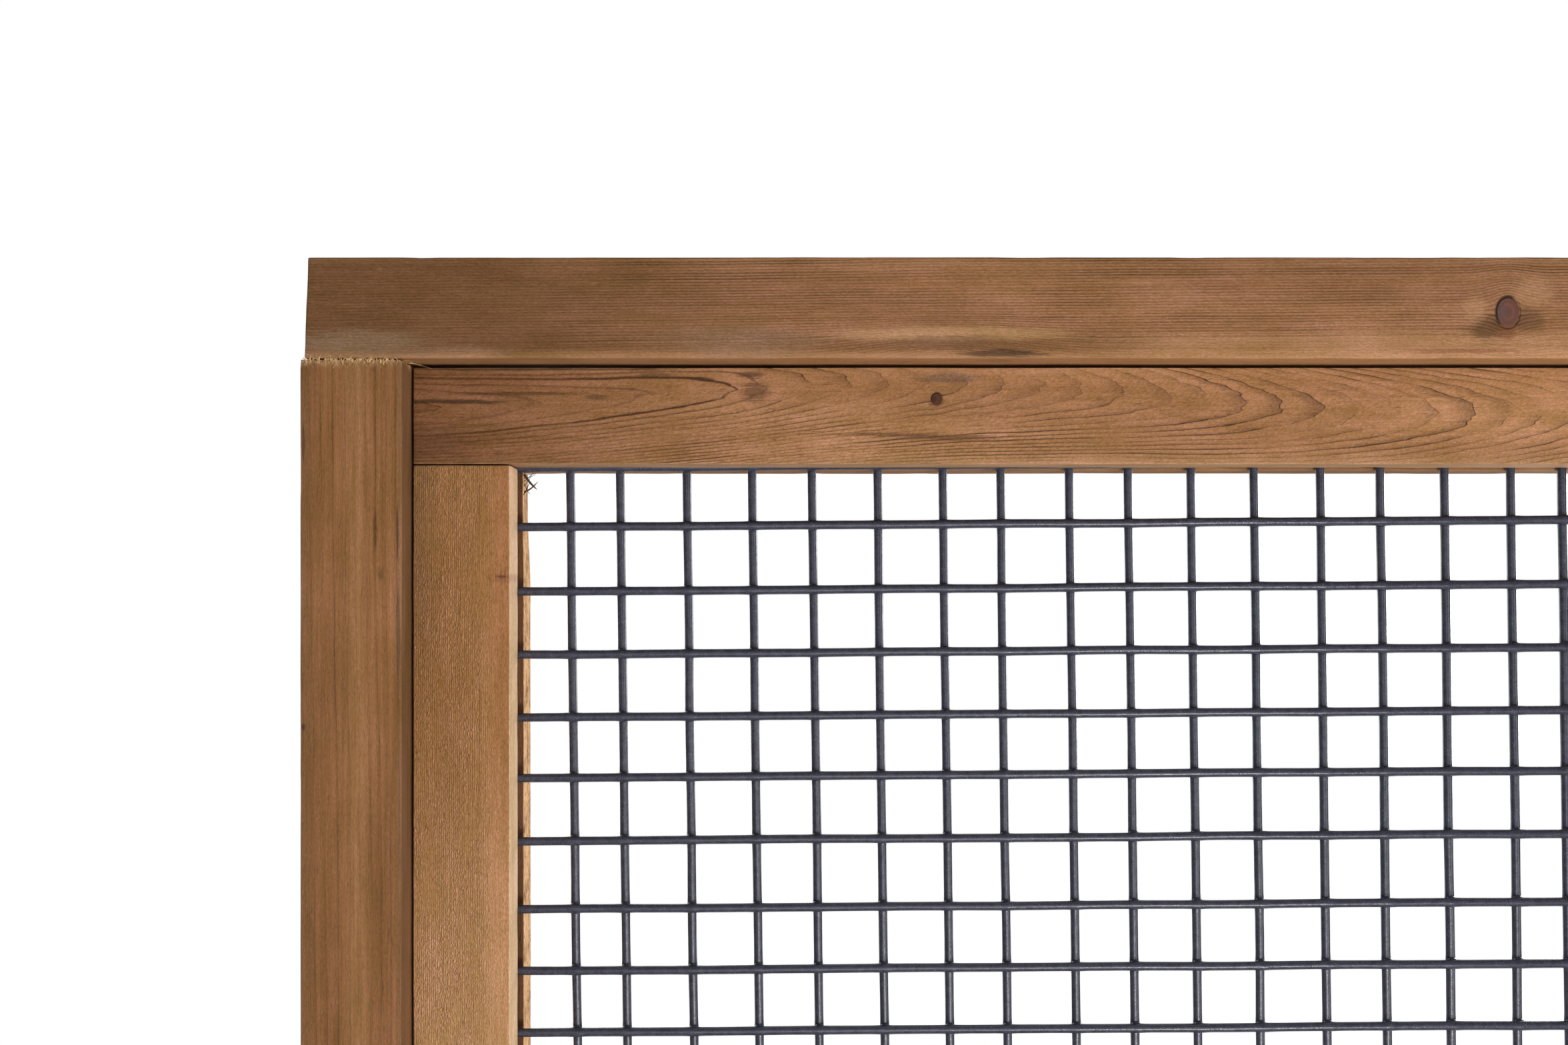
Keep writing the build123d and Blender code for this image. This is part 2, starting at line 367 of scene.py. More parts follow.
    height = s.fused(late, -0.5, s.times(fibre, 0.9))
    height = s.plus(height, s.times(grit, 0.8))
    if "comb" in spec:
        pitch, depth, low, high = spec["comb"]
        ordinate = s.part(bent, "X" if along == 2 else "Z")
        beads = grain(1.5, 0.9, 51, detail=2)
        phase = s.fused(beads, 1.5, s.over(ordinate, pitch))
        ridge = s.math("ABSOLUTE", s.math("SINE", s.times(phase, math.pi)))
        here = s.times(s.steps(ordinate, low, high), s.steps(cloud, 0.2, 0.55))
        tips = s.times(ridge, s.steps(beads, 0.44, 0.62))
        ridge = s.times(s.minus(s.plus(ridge, s.times(tips, 1.4)), 1), here)
        # the colour is darker in the grooves, a painted shade, and paler on the ridge tips, a painted
        # highlight
        shade = s.times(shade, s.fused(ridge, depth, 1))
        painted_tip_highlight = s.times(s.times(tips, here), 0.22)
        colour = s.mix(painted_tip_highlight, colour, spec["pale"])
        height = s.plus(height, s.times(ridge, 1.6))
    grey = s.add("CombineXYZ", {"X": shade, "Y": shade, "Z": s.times(shade, shade)}).outputs[0]
    colour = s.mix(1, colour, grey, "MULTIPLY")
    colour = s.mix(s.times(dash, spec["dash"]), colour, spec["dark"])
    colour = s.mix(s.times(fleck, spec["fleck"]), colour, spec["pale"])

    for knot, distance, offset in knots:
        size = knot["radius"]
        if "core" not in knot:
            continue
        swirl = s.times(s.steps(distance, size * 2, size * 1.1), s.steps(fibre, 0.4, 0.62))
        below = s.steps(s.vector("DOT_PRODUCT", offset, (0, 0, -1)), -size * 0.3, size)
        colour = s.mix(s.times(s.times(swirl, below), 0.8), colour, spec["dark"])
        rounds = s.math("PINGPONG", s.times(distance, 0.9), 1)
        inside = s.mix(s.times(rounds, 0.35), knot["core"], spec["dark"])
        blotch = s.steps(s.vector("DISTANCE", offset, (-size * 0.5, 0, 0)), size * 0.8, 0)
        inside = s.mix(s.times(blotch, 0.7), inside, knot["blotch"])
        colour = s.mix(s.steps(distance, size, size * 0.93), colour, inside)
        # the side of the knot's rim away from the light is painted darker: painted shade
        side = s.steps(s.vector("DOT_PRODUCT", offset, (-0.75, 0, 0.65)), -size * 0.2, size * 0.5)
        rim = s.times(s.steps(distance, size * 1.16, size), s.steps(distance, size * 0.86, size * 0.97))
        colour = s.mix(s.times(rim, side), colour, KNOT_RIM_SHADE)
        height = s.minus(height, s.times(rim, 4))

    # arrises are rubbed paler, end grain drinks the stain, torn places are straw
    worn = s.times(s.attribute("arris"), s.steps(cloud, 0.25, 0.75))
    colour = s.mix(s.times(worn, spec["worn"]), colour, spec["pale"])
    colour = s.mix(s.times(s.attribute("end"), 0.45), colour, spec["dark"])
    split = grain(2.2, 0.3, 61, 5, 0.8)
    split = s.mix(s.steps(s.plus(split, s.times(streak, 0.5)), 0.62, 0.8), RAW_DARK, RAW)
    colour = s.mix(s.attribute("raw"), colour, split)
    torn = s.times(s.attribute("torn"), s.steps(s.plus(fibre, hair), 0.75, 1.15))
    colour = s.mix(torn, colour, STRAW)

    height = s.plus(height, s.times(hair, 0.5))
    height = s.minus(height, s.times(dash, 0.9))
    height = s.plus(height, s.times(fleck, 0.5))
    return s.finish(colour, height, spec["relief"], s.fused(fibre, 0.25, 0.5))


def lattice(x, y, seed):
    """Smooth chance values from 0 to 1 over the plane, one for each pair of x and y."""
    x0, y0 = np.floor(x), np.floor(y)
    fx, fy = x - x0, y - y0
    fx, fy = fx * fx * (3 - 2 * fx), fy * fy * (3 - 2 * fy)

    def at(i, j):
        h = np.sin(i * 127.1 + j * 311.7 + seed * 74.7) * 43758.5453
        return h - np.floor(h)

    low = at(x0, y0) * (1 - fx) + at(x0 + 1, y0) * fx
    high = at(x0, y0 + 1) * (1 - fx) + at(x0 + 1, y0 + 1) * fx
    return low * (1 - fy) + high * fy


def section(width, height, easing, spacing):
    """A board's section, anticlockwise: points, outward normals, how much each point is arris."""
    points, normals, arris = [], [], []
    half = np.array([width, height]) / 2 - easing
    for k, (sx, sy) in enumerate(((1, -1), (1, 1), (-1, 1), (-1, -1))):
        turn = -math.pi / 2 + k * math.pi / 2
        for j in range(ARC_STEPS + 1):
            angle = turn + j / ARC_STEPS * math.pi / 2
            n = np.array([math.cos(angle), math.sin(angle)])
            points.append(half * (sx, sy) + easing * n)
            normals.append(n)
            arris.append(1.0)
        n = np.array([math.cos(turn + math.pi / 2), math.sin(turn + math.pi / 2)])
        run = 2 * half[1] if k % 2 == 0 else 2 * half[0]
        step_count = max(2, round(run / spacing))
        start = points[-1]
        direction = np.array([-n[1], n[0]])
        for j in range(1, step_count):
            points.append(start + direction * run * j / step_count)
            normals.append(n)
            near = min(j, step_count - j) * run / step_count
            arris.append(max(0.0, 1 - near / ARRIS_REACH))
    return np.array(points), np.array(normals), np.array(arris)


BOARD_INSET = 0.26  # the boards' mean surface inside the CAD face, which leaves room for the relief
SWELL_RELIEF, RIDGE_RELIEF, NICK_RELIEF = 0.16, 0.10, 0.5
LEAST_INSET = 0.03
ARC_STEPS = 6  # how many flats make up an eased arris
ARRIS_REACH = 2.5  # how far the rubbing of an arris reaches onto the faces
EASING = {"frame_timber": 1.0, "front_batten_timber": 0.45, "back_batten_timber": 0.45}  # arris radius
END_RINGS = (0.9, 0.72, 0.5, 0.25, 0.0)  # the outline's shares on the way to the middle of a sawn end
TOP_BAY, TOP_BAY_DEPTH = 45.0, 1.2  # the broken edges are hollowed over this much of their top end
EDGE_BAND = 5.0  # how much of a board's width a hollow in its edge draws in


def mesh_object(name, points, faces, smooth=True):
    mesh = bpy.data.meshes.new(name)
    mesh.from_pydata((np.asarray(points) * MM).tolist(), [], faces)
    mesh.update()
    if smooth:
        mesh.polygons.foreach_set("use_smooth", [True] * len(mesh.polygons))
    ob = bpy.data.objects.new(name, mesh)
    bpy.context.collection.objects.link(ob)
    return ob


def skin(faces, base, rings, sides, inward=False, caps=True):
    """Quads between rings of points that start at base, and a cap on the first and last ring."""
    for i in range(rings - 1):
        first, second = base + i * sides, base + (i + 1) * sides
        for j in range(sides):
            k = (j + 1) % sides
            quad = (first + j, first + k, second + k, second + j)
            faces.append((quad[0], *quad[:0:-1]) if inward else quad)
    if caps:
        for ring, turned in ((0, not inward), (rings - 1, inward)):
            cap = range(base + ring * sides, base + (ring + 1) * sides)
            faces.append(tuple(reversed(cap)) if turned else tuple(cap))


def set_attribute(ob, name, values):
    layer = ob.data.attributes.new(name, "FLOAT", "POINT")
    layer.data.foreach_set("value", np.asarray(values, np.float32))


def add_piece(name, points, faces, materials, replaced=None):
    """A piece on the one body and the CAD node that it stands for."""
    ob = mesh_object(name.replace("_", "-"), points, faces)
    for material in materials:
        ob.data.materials.append(material)
    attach(ob, "root")
    if replaced:
        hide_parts(replaced)
    return ob


def board(node, material, slot, seed, spacing=0.9, length_step=3.5, sawn=(), waney=(), torn=(), skew=0.0):
    """A board over a CAD timber: a rounded section swept down its length, waved, nicked and grained.

    sawn lists (face, pitch, depth) of rough-sawn faces, a face being its outward axis and sign; waney
    lists (face, depth) of edges that wander and are broken out in slivers; torn lists (end sign, depth)
    of ends whose fibres are broken out; skew is how much the top of the low end is sawn short.
    """
    low, high = cad(node)
    size = high - low
    along = int(np.argmax(size))
    across = [a for a in range(3) if a != along]
    outline, normals, arris = section(size[across[0]], size[across[1]], EASING[slot], spacing)
    length = size[along]
    cuts = np.unique(np.round(np.concatenate([
        np.linspace(0, 1, max(8, round(length / length_step))) * length,
        np.array([0.35, 0.8, 1.6]), length - np.array([0.35, 0.8, 1.6]),
    ]), 4))
    count, stations = len(outline), len(cuts)
    s = np.repeat(cuts, count)
    p = np.tile(outline, (stations, 1))
    n = np.tile(normals, (stations, 1))
    a = np.tile(arris, stations)
    round_the_board = np.cumsum(np.r_[0, np.linalg.norm(np.diff(outline, axis=0), axis=1)])
    t = np.tile(round_the_board, stations)

    # relief: long swells, fibre ridges, nicks on the arrises
    swell = lattice(s / 95, t / 22, seed) - 0.5
    ridges = lattice(s / 26, t / 1.7, seed + 1) - 0.5 + 0.6 * (lattice(s / 9, t / 0.95, seed + 2) - 0.5)
    depth = BOARD_INSET + SWELL_RELIEF * swell + RIDGE_RELIEF * ridges
    nick = np.clip(lattice(s / 11, t / 6, seed + 3) - 0.62, 0, 1)
    depth = depth + NICK_RELIEF * nick * (0.4 + lattice(s / 2.5, t / 2, seed + 4)) * a
    for (side_axis, sign), pitch, amount in sawn:
        facing = np.clip(n[:, across.index(side_axis)] * sign, 0, 1) ** 4
        other = p[:, 1 - across.index(side_axis)]
        wander = 2.2 * lattice(s / 60, other / 9, seed + 5)
        comb = np.abs(np.sin((other / pitch + wander) * math.pi))
        comb = comb * (0.5 + lattice(s / 5, other / 1.1, seed + 6))
        rough = lattice(s / 3.0, other / 2.3, seed + 7)
        depth = depth + facing * amount * (0.55 * comb + 0.6 * rough)
    raw = np.zeros(len(s))
    hollows = []
    for (side_axis, sign), amount in waney:
        facing = np.clip(n[:, across.index(side_axis)] * sign, 0, 1) ** 2
        other = p[:, 1 - across.index(side_axis)]
        bay = lattice(s / 55, other / 40, seed + 13) + 0.25 * lattice(s / 17, other / 9, seed + 14)
        hollow = 0.15 * bay + TOP_BAY_DEPTH * np.clip((TOP_BAY - (length - s)) / (0.6 * TOP_BAY), 0, 1)
        inward = size[side_axis] / 2 - p[:, across.index(side_axis)] * sign
        near_edge = np.clip(1 - inward / EDGE_BAND, 0, 1)
        rear = np.clip(0.5 + other / size[1], 0, 1)
        hollows.append((side_axis, -sign * hollow * near_edge * (0.25 + 0.75 * rear)))
        sliver = np.clip(lattice(s / 16, other / 1.1, seed + 15) - 0.4, 0, 0.35)
        fine = lattice(s / 2.2, other / 0.7, seed + 16)
        depth = depth + facing * amount * (1.3 * sliver + 0.30 * fine)
        raw = np.maximum(raw, np.clip(facing * 3 - 0.6, 0, 1))
    depth = np.maximum(depth, LEAST_INSET)
    end_distance = np.minimum(s, length - s)
    depth = depth + 0.25 * np.exp(-((end_distance / 0.35) ** 2))  # the cut's own sharp edge is just broken

    torn_value = np.zeros(len(s))
    for sign, reach in torn:
        from_end = s if sign < 0 else length - s
        patches = lattice(t / 1.3, t * 0, seed + 8) * lattice(t / 5.0, t * 0 + 4, seed + 9)
        ragged = reach * (0.45 + 1.1 * patches)
        torn_value = np.maximum(torn_value, np.clip(1.3 - from_end / np.maximum(ragged, 0.2), 0, 1))
        depth = depth + 0.7 * torn_value * lattice(s / 1.2, t / 1.1, seed + 10) * (from_end < reach * 2)

    centre = (low + high) / 2
    points = np.zeros((len(s), 3))
    for k, axis in enumerate(across):
        points[:, axis] = centre[axis] + p[:, k] - n[:, k] * depth
    for axis, shift in hollows:
        points[:, axis] += shift
    end_wave = 0.12 + 0.18 * lattice(t / 7, t * 0, seed + 11)
    points[:, along] = low[along] + np.clip(s, end_wave, length - end_wave)
    if skew:
        rise = (points[:, 2] - low[2]) / size[2]
        points[:, along] += skew * rise * (1 - s / length)

    faces = []
    skin(faces, 0, stations, count, caps=False)

    # the two cut ends, closed by shrinking the outline to a line through the middle
    points = list(points)
    for first, sign in ((0, -1), ((stations - 1) * count, 1)):
        loop = list(range(first, first + count))
        rim = np.array([points[v] for v in loop])
        middle = rim.mean(axis=0)
        for share in END_RINGS:
            ring = middle + (rim - middle) * share
            dip = 0.10 + 0.25 * lattice(ring[:, across[0]] / 1.6, ring[:, across[1]] / 1.6, seed + 12)
            ring[:, along] = rim[:, along] - sign * dip
            start = len(points)
            points.extend(ring if share else ring[:1])
            inner = list(range(start, start + count)) if share else [start] * count
            for j in range(count):
                k = (j + 1) % count
                face = (loop[j], loop[k], inner[k], inner[j]) if share else (loop[j], loop[k], start)
                faces.append(face if sign > 0 else face[::-1])
            loop = inner
    ob = add_piece(node + "-timber", points, faces, [material], node)
    on_ends = len(points) - len(s)
    for name, values in (("arris", a), ("end", 0 * a), ("torn", torn_value), ("raw", raw)):
        set_attribute(ob, name, np.r_[values, [float(name == "end")] * on_ends])


# Colours are linear. Each board is its own cut of timber.
HONEY = (0.345, 0.168, 0.066)
TAN = (0.255, 0.122, 0.048)
UMBER = (0.062, 0.027, 0.012)
RUST = (0.260, 0.095, 0.042)
OLIVE = (0.136, 0.060, 0.020)
SAPWOOD = (0.76, 0.52, 0.30)
PALE = (0.50, 0.285, 0.135)
SLATE = (0.085, 0.062, 0.058)

BASE = dict(
    along=0, pith=(0, 40, 600), tilt=(0, 0, 0), ring=1.6, light=HONEY, second=TAN, dark=UMBER, pale=PALE,
    seed=1, late_from=0.45, ring_base=0.25, ring_spread=0.55, sway=4, ripple=0.35, fibre=0.5,
    streak=0.4, cloud=0.45, grit=0.55, slant=8, dash=0.3, dash_from=0.66, fleck=0.14, worn=0.18,
    shine=0.16, relief=0.17, crown=0.05, line=0.26, fade=0.4, hair=0.6, even=0.1, bends=(), bold=(),
    knots=(), stains=(), marks=(),
)
LEVEL_KNOT = (0.8, 0.15, 0.78)
FRAME_FRONT, BATTEN_FRONT = -37.5, -22.5  # the planes of the front faces, along Y
SPOT_DEPTH = 40.0


def timber(name, **changes):
    return wood(name, BASE | changes)


def stain(axis, start, full, amount, colour, loose=0, within=None):
    """A colour along an axis from start to full, for the wood's own tone and for painted shade and light;
    loose lets its edge follow the grain.
    """
    return dict(
        axis=axis, start=start, full=full, amount=amount, colour=colour, loose=loose, within=within
    )


def spots(face, rows):
    """Oval patches on a front face, by rows: X, Z, half width, half height, colour, amount."""
    return [
        ((x, face, z), (wide, SPOT_DEPTH, tall), colour, amount)
        for x, z, wide, tall, colour, amount in rows
    ]


add_camera()
add_world()
bpy.context.scene.view_settings.view_transform = "Standard"
add_light("key", (0.24, -0.72, 0.05), (-0.1, 0, 0.42), 0.16, 2.75, (1, 0.98, 0.95))
add_light("right_fill", (1.4, -0.9, 0.25), (0, 0, 0.35), 1.2, 10.5, (1, 0.98, 0.95))
add_light("front_fill", (-0.1, -1.9, 0.6), (0, 0, 0.35), 1.4, 4.5)
add_light("low_fill", (0.05, -0.7, 0.04), (0, 0, 0.56), 0.5, 2.9)
add_light("back_fill", (-0.9, 1.7, 0.8), (0, 0, 0.3), 1.4, 15)
add_light("edge_fill", (0.55, 0.45, 0.5), (-0.228, 0.013, 0.45), 0.3, 2.5)
add_light("top_fill", (0.1, 0.2, 1.9), (0, 0, 0.3), 1.2, 4)

top_rail_wood = timber(
    "wood_top_rail", pith=(0, -60, 690), tilt=(0, 0.004, 0.008), ring=1.07, seed=2, sway=2.2, grit=1.2,
    cloud=0.7, light=(0.34, 0.16, 0.068), second=(0.26, 0.118, 0.048), ring_base=0.42,
    ring_spread=0.3, fleck=0.16, even=0.55, late_from=0.25, slant=-6, dash=0.12, line=0.3,
    stains=(
        # darker and greener towards the left: partly the wood's own tone, partly painted shade where the
        # light falls off to the left
        stain("X", -110, -300, 0.78, OLIVE, loose=4),
        stain("Z", 583, 578.5, 0.5, (0.43, 0.225, 0.1), loose=2.5, within=("X", -30, 40)),
        # paler along the lower edge of the face: a painted highlight where the low light catches the edge
        stain("Z", 576, 572.5, 0.55, (0.46, 0.235, 0.105), loose=0.5),
    ),
    knots=(
        dict(at=(148.3, -37.5, 589.1), radius=4.7, reach=21, push=3.6, squash=(1.06, 0.15, 0.8),
             core=(0.165, 0.066, 0.046), blotch=(0.095, 0.068, 0.066)),
        dict(at=(-60, -37.5, 566), radius=5, reach=25, push=8.5, squash=(0.34, 0.15, 1)),
    ),
    marks=spots(FRAME_FRONT, (
        (-63, 581, 52, 3.2, (0.47, 0.26, 0.12), 0.75), (-62, 577.8, 24, 3, (0.165, 0.078, 0.034), 0.6),
        (-42, 573.6, 17, 1.7, UMBER, 0.85), (-283, 578, 30, 5, (0.25, 0.155, 0.078), 0.75),
        (-258, 574.5, 40, 2.4, (0.24, 0.135, 0.066), 0.55),
        (-140, 578, 34, 7, (0.25, 0.15, 0.085), 0.45), (141, 583, 8.5, 5, UMBER, 0.6),
        (156.5, 586, 6.5, 5, UMBER, 0.5), (148, 581, 4.5, 3.2, RUST, 0.7), (158, 597, 9, 6, PALE, 0.3),
        (136, 590, 5, 6.5, PALE, 0.28), (132, 574.6, 22, 1.1, RUST, 0.7),
    )),
)
post_wood = timber(
    "wood_left_post", along=2, pith=(-346, 25, 0), tilt=(0.004, 0.01, 0), ring=2.7, seed=3, sway=2.5,
    light=(0.305, 0.136, 0.048), second=(0.24, 0.105, 0.036), ring_base=0.24, ring_spread=0.34,
    late_from=0.35, even=0.4, streak=0.7, dash=0.15, worn=0.05, grit=0.95, cloud=0.65, slant=0,
    line=0.42, fade=0.5,
    stains=(
        stain("X", -297, -304, 0.45, (0.165, 0.08, 0.034), loose=0.6),
        # the right side face and the edge beside it are darker, in the corner against the batten: painted
        # shade
        stain("X", -266.9, -266.6, 0.5, (0.2, 0.088, 0.04)),
        stain("X", -268.6, -267.6, 0.3, (0.16, 0.105, 0.06), loose=0.4),
        stain("X", -277, -283, 0.4, (0.37, 0.19, 0.074), loose=2, within=("X", -290, -284)),
    ),
    marks=spots(FRAME_FRONT, (
        (-276.6, 507, 0.9, 8, UMBER, 0.6), (-275, 490.5, 1.3, 3, (0.12, 0.055, 0.028), 0.6),
        (-303.5, 433.6, 0.9, 1.3, UMBER, 0.8), (-268.3, 505, 0.5, 12, UMBER, 0.8),
        (-268, 470, 0.8, 24, (0.1, 0.06, 0.036), 0.6), (-303.6, 540, 0.8, 7, UMBER, 0.6),
    )),
)
top_batten_wood = timber(
    "wood_front_top_batten", pith=(-55, 4.2, 559.2), tilt=(0, 0.02, -0.006), ring=0.84, late_from=0.35,
    bends=((-146, 0.036, 10),), wave=(5.2, -72, 64), slant=26, seed=4, light=(0.42, 0.208, 0.088),
    second=(0.34, 0.16, 0.065), ring_base=0.54, ring_spread=0.45, sway=1, ripple=0.55, dash=0.4,
    streak=0.55, fleck=0.16, grit=1.6, fibre=0.7, line=0.24, fade=0.38, crown=0.06, cloud=0.75,
    bold=((24.85, 0.62, 1), (25.5, 0.45, 0.6), (23.9, 0.4, 0.5), (23.1, 0.4, 0.45)),
    stains=(
        # darker towards the left: partly the wood's own tone, partly painted shade where the light falls
        # off to the left
        stain("X", -100, -290, 0.75, (0.15, 0.054, 0.016), loose=3),
        # paler along the bottom edge: a painted highlight where the low light catches the underside
        stain("Z", 534, 533.2, 0.35, (0.6, 0.38, 0.22), loose=0.06),
        stain("Z", 540, 534, 0.3, (0.47, 0.26, 0.12), loose=0.6, within=("X", -160, -60)),
    ),
    knots=(dict(at=(-64.6, -22.5, 558.4), radius=1.7, reach=9, push=1.4, squash=LEVEL_KNOT,
                core=(0.1, 0.036, 0.018), blotch=(0.03, 0.014, 0.009)),),
    marks=spots(BATTEN_FRONT, (
        (-252, 557.4, 24, 1.1, UMBER, 0.85), (-225, 560.2, 30, 0.8, UMBER, 0.55),
        (-195, 559, 5, 1.2, UMBER, 0.5), (-215, 571.4, 90, 2.2, (0.12, 0.054, 0.028), 0.75),
        (-218, 569.6, 56, 0.42, UMBER, 0.95), (-134, 561, 7, 5, UMBER, 0.55),
        (-136, 567.5, 6, 1.6, UMBER, 0.75), (-172, 567.5, 8, 1.2, UMBER, 0.55),
        (-62, 543.4, 28, 1.2, (0.125, 0.052, 0.026), 0.65),
        (-85, 544.6, 22, 0.9, (0.125, 0.052, 0.026), 0.55), (-60, 566.5, 14, 2.4, SLATE, 0.45),
        (-262, 541, 20, 9, (0.115, 0.05, 0.024), 0.5),
    )),
)
left_batten_wood = timber(
    "wood_front_left_batten", along=2, pith=(-310, 35, 0), tilt=(0.004, 0.008, 0), ring=2.1, seed=5,
    sway=2, light=(0.39, 0.184, 0.064), second=(0.33, 0.148, 0.048), ring_base=0.05, ring_spread=0.18,
    fibre=0.7, streak=0.35, dash=0.2, relief=0.12, comb=(0.8, 0.085, -231, -243), worn=0, grit=1.6,
    cloud=0.7, slant=0,
    stains=(
        stain("X", -240, -231, 0.5, (0.335, 0.135, 0.052), loose=1.2),
        # lighter towards the bottom, where the low lamp is nearer: painted light
        stain("Z", 470, 300, 0.5, (0.6, 0.345, 0.165), loose=6),
        stain("X", -252, -264, 0.45, (0.2, 0.11, 0.05), loose=1.5, within=("Z", 420, 500)),
        stain("X", -228.95, -228.8, 0.95, SAPWOOD, loose=0.02),
    ),
    marks=spots(BATTEN_FRONT, (
        (-231.9, 490, 2.7, 0.55, (0.085, 0.024, 0.014), 0.95),
        (-232, 489.5, 5, 2.6, (0.24, 0.09, 0.038), 0.5),
    )),
)
back_batten_wood = timber(
    "wood_back_left_batten", along=2, pith=(-280, 60, 0), tilt=(0.004, 0.004, 0), ring=1.7, seed=6,
    fibre=0.8, light=(0.25, 0.108, 0.045), second=(0.18, 0.075, 0.032), streak=0.9, relief=0.3,
    worn=0, dash=0.6,
    stains=(
        # darker towards the top, under the front top batten: painted shade
        stain("Z", 500, 545, 0.6, (0.085, 0.04, 0.022), loose=3),
        # the front face, set back behind the front left batten, is darker: painted shadow
        stain("Y", 4.4, 3.9, 0.36, (0.05, 0.022, 0.014)),
    ),
)
plain_rail_wood = timber("wood_bottom_rail", pith=(0, -42, -70), tilt=(0, 0.003, 0.005), ring=1.2, seed=7)
plain_post_wood = timber(
    "wood_right_post", along=2, pith=(400, 20, 0), tilt=(0.004, 0.01, 0), ring=2.4, seed=8,
    ring_base=0.15,
)
plain_batten_wood = timber(
    "wood_front_bottom_batten", pith=(60, 4, 47), tilt=(0, 0.02, 0.005), ring=0.9,
    bends=((20, 0.04, 12),), seed=9, ring_spread=0.8, ring_base=0.16, late_from=0.25, sway=1.5,
    wave=(5, 30, 70), slant=24, light=(0.385, 0.19, 0.08), second=(0.318, 0.152, 0.062),
)
right_batten_wood = timber(
    "wood_front_right_batten", along=2, pith=(262, 10, 250), tilt=(0.004, 0.02, 0), ring=1.5, seed=10,
    bends=((300, 0.03, 20),), wave=(3, 300, 80), light=(0.4, 0.208, 0.09), fibre=0.6, slant=0,
)
back_level_wood = timber(
    "wood_back_level_batten", pith=(0, 70, 400), tilt=(0, 0.01, 0.01), ring=1.8, seed=11,
)
back_right_wood = timber(
    "wood_back_right_batten", along=2, pith=(330, 50, 0), tilt=(0, 0.01, 0), ring=1.9, seed=12,
)

FRONT_FACE = (1, -1)
ROUGH_SAWN = dict(spacing=0.3, sawn=((FRONT_FACE, 0.80, 0.010),), length_step=4.5)
board("top_rail", top_rail_wood, "frame_timber", 21, skew=1.41)
board("bottom_rail", plain_rail_wood, "frame_timber", 22)
board("left_post", post_wood, "frame_timber", 23, torn=((1, 2.2), (-1, 1.2)))
board("right_post", plain_post_wood, "frame_timber", 24, torn=((1, 1.4), (-1, 1.4)))
board("front_top_batten", top_batten_wood, "front_batten_timber", 25)
board("front_bottom_batten", plain_batten_wood, "front_batten_timber", 26)
board("front_left_batten", left_batten_wood, "front_batten_timber", 27, **ROUGH_SAWN)
board("front_right_batten", right_batten_wood, "front_batten_timber", 28, **ROUGH_SAWN)
RAW_EDGE_RIGHT, RAW_EDGE_LEFT = (0, 1), (0, -1)
board("back_left_batten", back_batten_wood, "back_batten_timber", 29,
      waney=((RAW_EDGE_RIGHT, 1.6),), spacing=0.45, length_step=1.6)
board("back_right_batten", back_right_wood, "back_batten_timber", 30,
      waney=((RAW_EDGE_LEFT, 1.6),), spacing=0.6, length_step=1.6)
board("back_top_batten", back_level_wood, "back_batten_timber", 31)
board("back_bottom_batten", back_level_wood, "back_batten_timber", 32)


# ---- wires
def coated_wire_material():
    s = Shader("coated_wire", roughness=0.34, specular=0.5)
    mottle = s.noise(s.scaled(s.place, 0.35), detail=3.0)
    speck = s.noise(s.scaled(s.place, 2.6), detail=2.0)
    colour = s.mix(s.steps(mottle, 0.3, 0.7), (0.023, 0.024, 0.040), (0.040, 0.041, 0.065))
    height = s.plus(s.times(mottle, 0.8), s.times(speck, 0.35))
    nick = s.steps(s.noise(s.scaled(s.place, 1.9), detail=1.0), 0.66, 0.74)
    colour = s.mix(s.times(nick, 0.5), colour, (0.16, 0.165, 0.18))
    gloss = s.fused(speck, 0.26, 0.12)
    return s.finish(colour, height, 0.12, gloss)


WIRE_SIDES = 16
WIRE_STEP = 1.7
GIRTH_SHARE = 0.985  # of the CAD wire's radius, which leaves room for lumps
LUMPS, END_TAPER = 0.05, 0.72
WANDER, HUMP = 0.30, 0.072  # how far a wire strays sideways and in depth, at most, over its length
SWELL = 0.16  # the coating is thicker where it ran together at a weld
SWELL_REACH = 2.4
WELD_WIDTH, WELD_SPREAD, WELD_REACH = 2.22, 0.22, 1.55
WELD_TURNS, WELD_LEVELS = 14, 8
coating = coated_wire_material()
COLUMNS = [f"vertical_wire_{i:02d}" for i in range(1, 21)]
ROWS = [f"horizontal_wire_{i:02d}" for i in range(1, 21)]


def wire_line(node, along, rising):
    """The two ends of a wire's centre line, and its radius: it slopes across its box."""
    low, high = cad(node)
    radius = (high[1] - low[1]) / 2
    start, end = (low + high) / 2, (low + high) / 2
    cross = 2 - along
    start[along], end[along] = low[along], high[along]
    start[cross], end[cross] = low[cross] + radius, high[cross] - radius
    if not rising:
        start[cross], end[cross] = end[cross], start[cross]
    return start, end, radius


ROW_LINES = [wire_line(node, 0, True) for node in ROWS]
COLUMN_LINES = [wire_line(node, 2, False) for node in COLUMNS]


def crossing(row, column):
    """Where a level wire and an upright one cross, seen from the front, at the depth of their weld."""
    (r0, r1, radius), (c0, c1, _) = row, column
    d, e = r1 - r0, c1 - c0
    denominator = d[0] * e[2] - d[2] * e[0]
    t = ((c0[0] - r0[0]) * e[2] - (c0[2] - r0[2]) * e[0]) / denominator
    point = r0 + d * t
    point[1] = (r0[1] + c0[1]) / 2
    return point


CROSSINGS = [[crossing(row, column) for column in COLUMN_LINES] for row in ROW_LINES]


